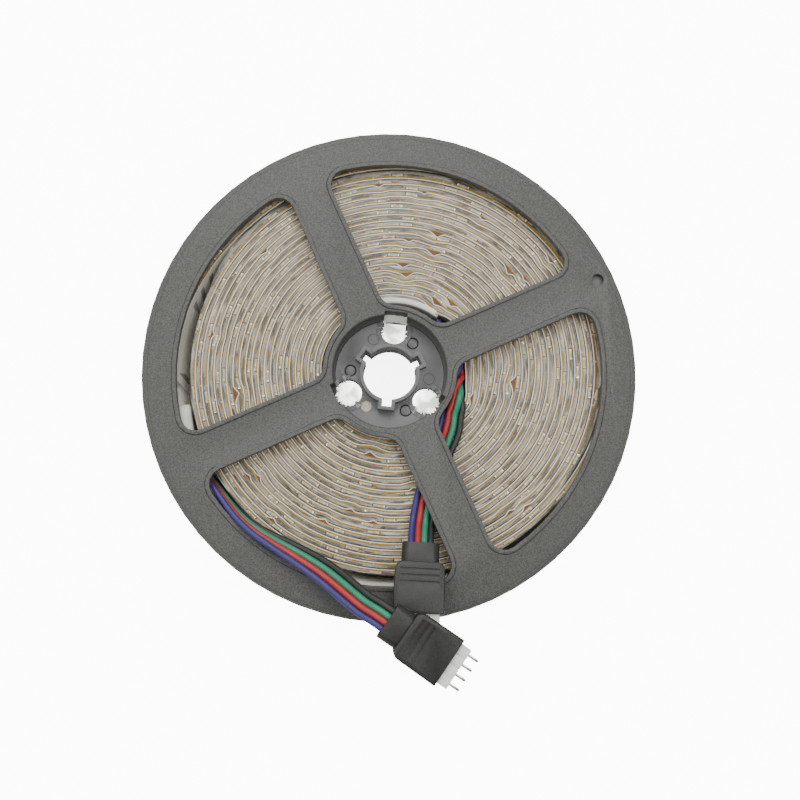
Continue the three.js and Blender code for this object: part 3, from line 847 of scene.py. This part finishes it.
pick = random.Random(7)
folds = []
for places, width, depth in ((wide_folds, 4.6, 1.2), (narrow_folds, 3.0, 0.6)):
    for angle, radius in places:
        scale = pick.uniform(0.85, 1.15)
        tip = pick.uniform(-0.35, 0.35)
        folds.append(fold_pieces(turn_at(angle, radius), width * scale, depth * scale, tip))
joined_pieces("liner_folds", [liner for liner, brown in folds], liner_paper)
joined_pieces("fold_faces", [brown for liner, brown in folds], fold_brown)

# A loose length of bare liner has slipped off the coil's outer turn. It leans outwards in the gap
# below the coil, between it and the rim.

tail_section = ((0.1, 3), (0.35, 3), (3.0, 12.15), (2.75, 12.15))
tail_rings = []
for k in range(21):
    turn = 220 + 44 * k / 20
    out = 1 - 0.75 * (1 - eased(k / 6))
    tail_rings.append([Vector(on_circle(48.7 + foot * out, turn, z)) for foot, z in tail_section])
joined_pieces("liner_tail", [tail_rings], liner_paper)

# Light chips sit on the tape at an even pitch. Their cream bodies show through the coat, each with
# a terminal or two that carries a painted glint, and a dark joint of solder at either end.
# Leaf-shaped shadows in the coat beside them, and a dark rim round each chip, are painted shade.

CHIP_PITCH = 16.67
FIRST_CHIP = 354.6
chip_body = grained(
    "cream chip body", (0.34, 0.31, 0.19), (0.70, 0.66, 0.46), (0.2, 0.35), 1800, 900, 0.04
)
# Painted glint: the terminals glow a little.
glinting_terminal = grained(
    "bright chip terminal", (0.90, 0.86, 0.68), (1.0, 0.98, 0.84), (0.1, 0.25), 1500, 600, 0.02,
    Emission_Color=(1, 0.97, 0.85, 1), Emission_Strength=0.6,
)
solder_shade = grained(
    "solder joint", (0.025, 0.024, 0.02), (0.07, 0.066, 0.055), (0.3, 0.5), 1500, 600, 0.02
)


def coil_places(pitch, start):
    """The turns at which a mark every so many mm along the strip lies."""
    turn = STRIP_START
    travelled = 0.0
    wanted = start
    places = []
    while turn < STRIP_END - 2:
        step = 0.5
        a = Vector(on_circle(tape_radius(turn), turn, 0))
        b = Vector(on_circle(tape_radius(turn + step), turn + step, 0))
        gone = (b - a).length
        while wanted <= travelled + gone:
            places.append(turn + step * (wanted - travelled) / gone)
            wanted += pitch
        travelled += gone
        turn += step
    return places


def bent_block(turn, shift, length, inside, outside, high, steps=3):
    """A small block that follows the coil, shifted along the strip from the turn."""
    rings = []
    full = min(1.15, fullness(turn))
    for k in range(steps + 1):
        along = shift + (k / steps - 0.5) * length
        there = turn + math.degrees(along / tape_radius(turn))
        radius = tape_radius(there)
        tuck = 0.05 if k in (0, steps) else 0
        section = (
            (inside, COIL_TOP - 1.2),
            (outside * full, COIL_TOP - 1.2),
            (outside * full, high - 0.06 - tuck),
            (outside * full - 0.06, high - tuck),
            (inside, high - tuck),
        )
        rings.append([Vector(on_circle(radius + out, there, z)) for out, z in section])
    return rings


def lens_shape(turn, shift, length, width, out):
    """A leaf-shaped painted shadow in the coat beside a chip, blunt at its near end."""
    rings = []
    high = COIL_TOP + 0.006
    low = high - 0.3
    for k in range(9):
        u = k / 8
        half = width * (0.06 + 0.94 * math.sin(math.pi * u**0.55) ** 0.8) / 2
        there = turn + math.degrees((shift + length * u) / tape_radius(turn))
        radius = tape_radius(there) + out
        section = ((-half, low), (half, low), (half, high), (-half, high))
        rings.append([Vector(on_circle(radius + side, there, z)) for side, z in section])
    return rings


chip_blocks = []
lens_shadow_blocks = []
chip_rim_shade_blocks = []
terminal_blocks = []
solder_blocks = []
chip_places = [FIRST_CHIP]
chip_places += [place for place in coil_places(CHIP_PITCH, 6) if abs(place - FIRST_CHIP) > 30]
for turn in chip_places:
    length = pick.uniform(2.5, 3.1)
    outside = pick.uniform(0.62, 0.8)
    chip_blocks.append(bent_block(turn, 0, length, 0.2, outside, COIL_TOP + 0.03))
    # A dark block a little larger than the chip is painted shade round its edge.
    chip_rim_shade_blocks.append(bent_block(turn, 0, length + 0.4, 0.12, outside + 0.13, COIL_TOP + 0.012))
    for side in (-1, 1):
        if pick.random() < 0.7:
            start = side * (length / 2 + pick.uniform(0.2, 1.6))
            reach = side * pick.uniform(2.5, 6.5)
            width = pick.uniform(0.3, 0.6)
            out = pick.uniform(0.62, 0.85)
            lens_shadow_blocks.append(lens_shape(turn, start, reach, width, out))
        if pick.random() < 0.8:
            start = side * (length / 2 + 0.16)
            edge = outside + pick.uniform(0.1, 0.35)
            solder_blocks.append(bent_block(turn, start, 0.24, 0.14, edge, COIL_TOP + 0.035, 1))
    for shift in (-0.85, 0.05, 0.85):
        if pick.random() < 0.85:
            start = shift + pick.uniform(-0.2, 0.2)
            size = pick.uniform(0.45, 0.95)
            edge = pick.uniform(0.60, 0.82)
            terminal_blocks.append(bent_block(turn, start, size, 0.24, edge, COIL_TOP + 0.045, 1))
# Painted shade: leaf-shaped shadows beside the chips, and a dark rim round each chip.
lens_shade = grained(
    "shade in the coat", (0.060, 0.056, 0.044), (0.20, 0.19, 0.155), (0.2, 0.34), 900, 300, 0.03
)
joined_pieces("coat_lens_shadows", lens_shadow_blocks, lens_shade)
joined_pieces("chip_rim_shadows", chip_rim_shade_blocks, lens_shade)
joined_pieces("light_chips", chip_blocks, chip_body)
joined_pieces("chip_terminals", terminal_blocks, glinting_terminal)
joined_pieces("chip_solder", solder_blocks, solder_shade)

# Every half metre or so two lengths of tape are soldered together: the joint shows as a short
# maroon bar in the coat, and in a few places as bare copper.

joint_maroon = grained(
    "joint in the coat", (0.085, 0.022, 0.015), (0.20, 0.07, 0.05), (0.3, 0.5), 1800, 700, 0.03
)
bare_amber = grained(
    "bare tape", (0.40, 0.20, 0.04), (0.66, 0.38, 0.10), (0.3, 0.45), 1800, 700, 0.02
)
tape_joints = [
    (23.3, 30.6), (65.7, 44.3), (74, 26.8), (68, 25.1), (134.4, 39.4), (152, 36.4),
    (103.6, 33.7), (116.7, 44.3), (215.2, 40.6), (192, 31.4), (321, 48.2), (335.8, 32.8),
    (346.8, 50), (343.7, 22.9),
]
bare_places = [(35, 39.8), (12.5, 36.3), (49.6, 23.0), (281.1, 43.1)]
for name, places, lengths, inside, outside, finish in (
    ("tape_joints", tape_joints, (2.6, 4.2), 0.13, 0.42, joint_maroon),
    ("bare_tape", bare_places, (2.4, 3.2), -0.1, 0.32, bare_amber),
):
    bars = []
    for angle, radius in places:
        turn = turn_at(angle, radius)
        length = pick.uniform(*lengths)
        bars.append(bent_block(turn, 0, length, inside, outside, COIL_TOP + 0.03, 4))
    joined_pieces(name, bars, finish)

# A sleeve of white heat-shrink covers the solder joint at the strip's outer end. Its end over the
# strip wasn't shrunk tight, and stands off the coil as a wider skirt.

sleeve_white = grained(
    "white heat-shrink", (0.76, 0.76, 0.69), (0.86, 0.86, 0.79), (0.4, 0.5), 900, 200, 0.04
)
rounded_copy("outer_end_sleeve", "end_sleeve", 0.5, sleeve_white)


def sleeve_ring(radius, turn, z, slim, section):
    """A sleeve's cross-section at a place of the coil, drawn in where slim is under 1."""
    return [Vector(on_circle(radius + out * slim, turn, z + up * slim)) for out, up in section]


skirt_section = [
    (-1.2, -4.6), (1.2, -4.6), (1.7, -4.2), (1.7, 4.5), (1.2, 5.1), (0.3, 5.35), (-0.7, 5.2),
    (-1.6, 4.6), (-1.9, 3.6), (-1.7, -4.2),
]
skirt_rings = []
for k in range(13):
    slim = 0.8 + 0.2 * eased(min(k, 12 - k) / 1.5)
    skirt_rings.append(sleeve_ring(51.2 + 0.09 * k, 165 + 13 * k / 12, 7.4, slim, skirt_section))
joined_pieces("loose_end_sleeve", [skirt_rings], sleeve_white)
bpy.ops.object.shade_smooth_by_angle(angle=math.radians(50))

# The solder joint at the strip's inner end has a longer sleeve of the same heat-shrink, which
# follows the coil's first turn.

sleeve_section = [
    (-0.62, -4.8), (0.62, -4.8), (0.78, -4.5), (0.78, 4.85), (0.66, 5.15), (0.4, 5.28),
    (-0.4, 5.28), (-0.66, 5.15), (-0.78, 4.85), (-0.78, -4.5),
]
sleeve_rings = []
for k in range(33):
    turn = 26.5 + 51.5 * k / 32
    radius = tape_radius(max(turn, STRIP_START)) + 0.12
    slim = 0.85 + 0.15 * eased(min(k, 32 - k) / 2)
    sleeve_rings.append(sleeve_ring(radius, turn, 7.2, slim, sleeve_section))
joined_pieces("inner_end_sleeve", [sleeve_rings], sleeve_white)
bpy.ops.object.shade_smooth_by_angle(angle=math.radians(50))

# Each plug is a soft black shell moulded over a nylon pin header, with a flat rubber sleeve where
# the wires go in. Grooves across the shell give a grip, a small raised arrow marks its first pin,
# and four tinned pins stand out in front.

plug_rubber = grained(
    "black plug rubber",
    (0.014, 0.0135, 0.012),
    (0.024, 0.0235, 0.021),
    (0.40, 0.52),
    2200,
    700,
    0.04,
)
header_nylon = grained(
    "natural nylon", (0.90, 0.89, 0.80), (0.97, 0.96, 0.89), (0.3, 0.42), 700, 150, 0.03,
    Subsurface_Weight=0.2, Subsurface_Scale=1 * MM,
)
pin_tin = grained(
    "tinned brass", (0.62, 0.60, 0.55), (0.75, 0.73, 0.69), (0.22, 0.35), 1500, 300, 0.02,
    Metallic=1.0,
)
# The arrow's foot and its slightly smaller top: height on the shell, then corners in mm.
arrow_outlines = (
    (2.4, ((-4.5, 14.2), (-3.7, 15.6), (-2.9, 14.2))),
    (2.55, ((-4.4, 14.26), (-3.7, 15.45), (-3.0, 14.26))),
)
for plug, mouth, heading, pitch in (
    ("inner_plug", (-10.2, -40.9, 17.1), 242.8, 12),
    ("outer_plug", (-24.33, -53.09, 27.8), -58.6, -3),
):
    placed = Matrix.Translation(Vector(mouth))
    placed @= Matrix.Rotation(math.radians(heading - 90), 4, "Z")
    placed @= Matrix.Rotation(math.radians(pitch), 4, "X")
    arrow_rings = []
    for z, outline in arrow_outlines:
        arrow_rings.append([placed @ Vector((x, y, z)) for x, y in outline])
    arrow = joined_pieces(plug + "_arrow", [arrow_rings], plug_rubber)
    fittings = [
        rounded_copy(plug + "_sleeve", plug + "_boot", 0.1, plug_rubber),
        rounded_copy(plug + "_shell", plug + "_body", 0.1, plug_rubber),
        rounded_copy(plug + "_header", plug + "_pin_block", 0.08, header_nylon),
        arrow,
    ]
    for i in range(1, 5):
        number = str(i)
        contact = plug + "_contact_" + number
        fittings.append(rounded_copy(plug + "_pin_" + number, contact, 0.05, pin_tin))
    lead = plug.replace("plug", "lead")
    for colour in WIRES:
        insulated, line = lead_wires[lead + "_" + colour]

# The reel lies on a plain white table under three soft lights. To the eye the table glows white
# round the reel and in the hub's openings, as a light table does, but its glow lights nothing.
# In the latch holes its glow is painted with shade: it fades towards the hub's wall and has greyish
# patches.

GLOW_WHITE = (1, 1, 0.985, 1)
bpy.ops.mesh.primitive_plane_add(size=3, location=(0, 0, -0.2 * MM))
table_top = bpy.context.object
table_top.name = "table"
table_white = fresh_material("table white", Base_Color=(0.90, 0.90, 0.89, 1), Roughness=0.8)
table_radius = axis_distance(table_white)
table_outside = spread(table_white, table_radius, 61 * MM, 61.3 * MM, 0, 11)
table_hub = spread(table_white, table_radius, 15.8 * MM, 15.2 * MM)
# Painted shade: in the latch holes the glow fades towards the hub's wall and has greyish patches.
table_dusk = spread(table_white, table_radius, 14.5 * MM, 7.5 * MM, 2.4, 6)
table_inside = worked(table_white, "MULTIPLY", table_hub, table_dusk)
table_level = worked(table_white, "ADD", table_outside, table_inside)
table_seen = add_node(table_white, "ShaderNodeLightPath").outputs["Is Camera Ray"]
table_place = add_node(table_white, "ShaderNodeTexCoord").outputs["Object"]
table_cloud = add_node(table_white, "ShaderNodeTexNoise", Scale=260, Detail=1)
link(table_white, table_place, table_cloud.inputs["Vector"])
table_patch = spread(table_white, table_cloud.outputs["Fac"], 0.45, 0.62, smooth=True)
table_ring = spread(table_white, table_radius, 7.5 * MM, 9.5 * MM)
table_patch_shade = worked(table_white, "MULTIPLY", table_patch, table_ring)
table_tint = add_node(table_white, "ShaderNodeMix", data_type="RGBA")
table_tint.inputs["A"].default_value = GLOW_WHITE
table_tint.inputs["B"].default_value = (0.42, 0.46, 0.38, 1)
table_holes = worked(table_white, "MULTIPLY", table_patch_shade, table_hub)
link(table_white, table_holes, table_tint.inputs["Factor"])
table_glow = add_node(table_white, "ShaderNodeEmission")
link(table_white, table_tint.outputs["Result"], table_glow.inputs["Color"])
table_camera = worked(table_white, "MULTIPLY", table_level, table_seen)
link(table_white, table_camera, table_glow.inputs["Strength"])
table_both = add_node(table_white, "ShaderNodeAddShader")
table_shader = table_white.node_tree.nodes["Principled BSDF"]
table_out = table_white.node_tree.nodes["Material Output"]
link(table_white, table_shader.outputs[0], table_both.inputs[0])
link(table_white, table_glow.outputs[0], table_both.inputs[1])
link(table_white, table_both.outputs[0], table_out.inputs["Surface"])
table_top.data.materials.append(table_white)


def soft_light(place, size, power):
    """A square light of this size in metres, aimed at the middle of the reel."""
    bpy.ops.object.light_add(type="AREA", location=place)
    lamp = bpy.context.object
    lamp.data.size = size
    lamp.data.energy = power
    lamp.rotation_mode = "QUATERNION"
    lamp.rotation_quaternion = (-Vector(place)).to_track_quat("-Z", "Y")


soft_light((0.12, 0.5, 0.6), 0.7, 5.4)
soft_light((-0.45, 0.1, 0.6), 0.6, 2)
soft_light((0.28, -0.1, 0.6), 0.3, 1.5)
sky = bpy.data.worlds.new("studio")
bpy.context.scene.world = sky
sky.use_nodes = True
sky.node_tree.nodes["Background"].inputs["Color"].default_value = (1, 1, 1, 1)
sky.node_tree.nodes["Background"].inputs["Strength"].default_value = 0.39
